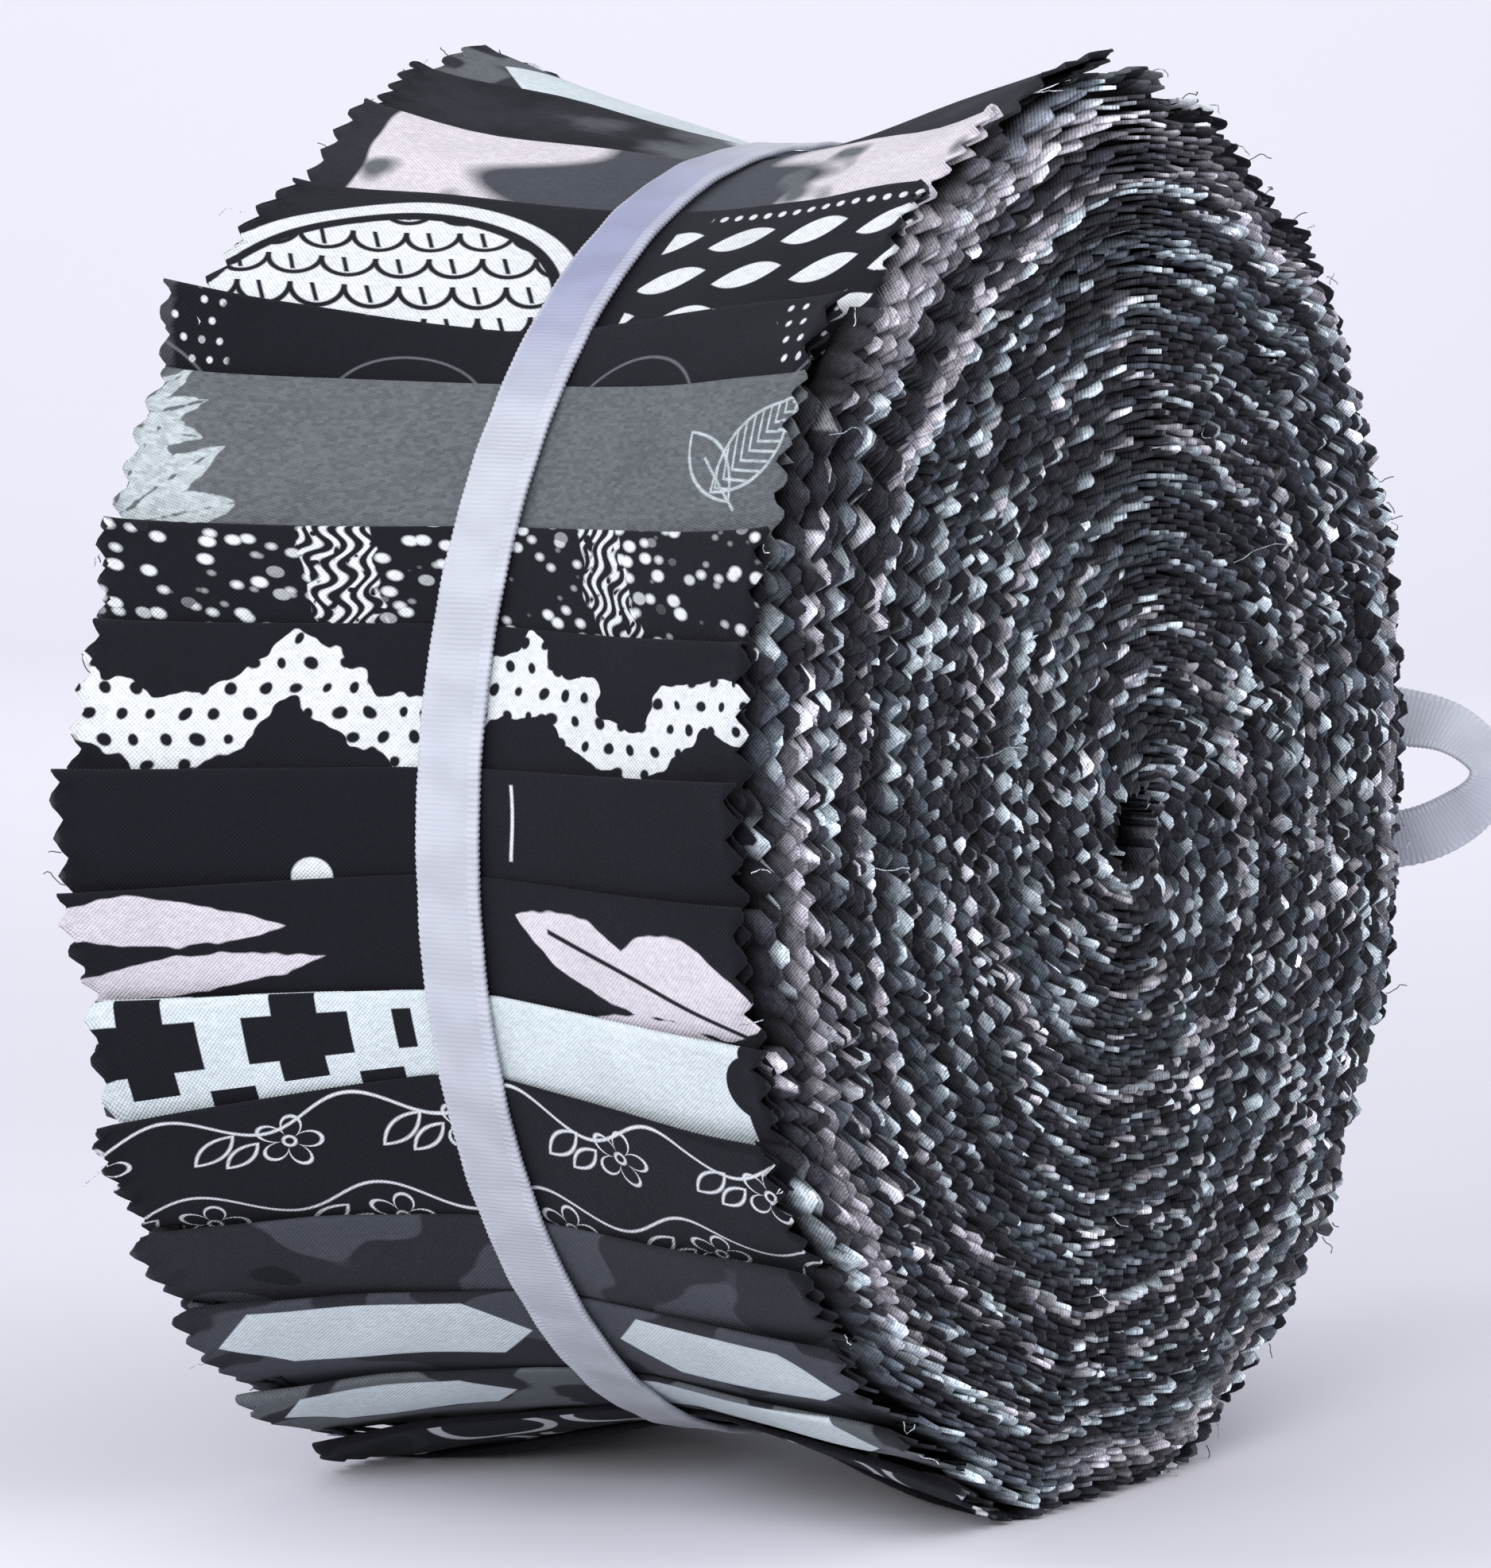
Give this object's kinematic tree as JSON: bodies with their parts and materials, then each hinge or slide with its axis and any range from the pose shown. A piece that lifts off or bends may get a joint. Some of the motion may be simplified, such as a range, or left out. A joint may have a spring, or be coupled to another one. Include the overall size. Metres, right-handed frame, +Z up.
{
  "type": "jelly roll of fabric strips tied with a ribbon",
  "caption": "Tightly wound roll of folded patchwork fabric strips with pinked edges, standing on its rim, tied round the waist with a satin ribbon and a bow.",
  "frame": {"origin": "middle of the footprint's box, on the surface that the roll stands on", "axes": "+Z up; the roll's axis runs along Y with its front end facing -Y; +X towards the side with the bow"},
  "size_m": [0.1386, 0.0754, 0.1241],
  "materials": {
    "printed_cotton": "matte woven cotton in black, grey and white prints, with pinked edges",
    "satin_ribbon": "glossy white satin with ribbed selvedges"
  },
  "bodies": {
    "root": {"wound_strips": "printed_cotton", "ribbon_band": "satin_ribbon", "ribbon_knot": "satin_ribbon", "bow_loop_front": "satin_ribbon", "bow_loop_back": "satin_ribbon", "ribbon_tail_front": "satin_ribbon", "ribbon_tail_back": "satin_ribbon"}
  },
  "joints": []
}
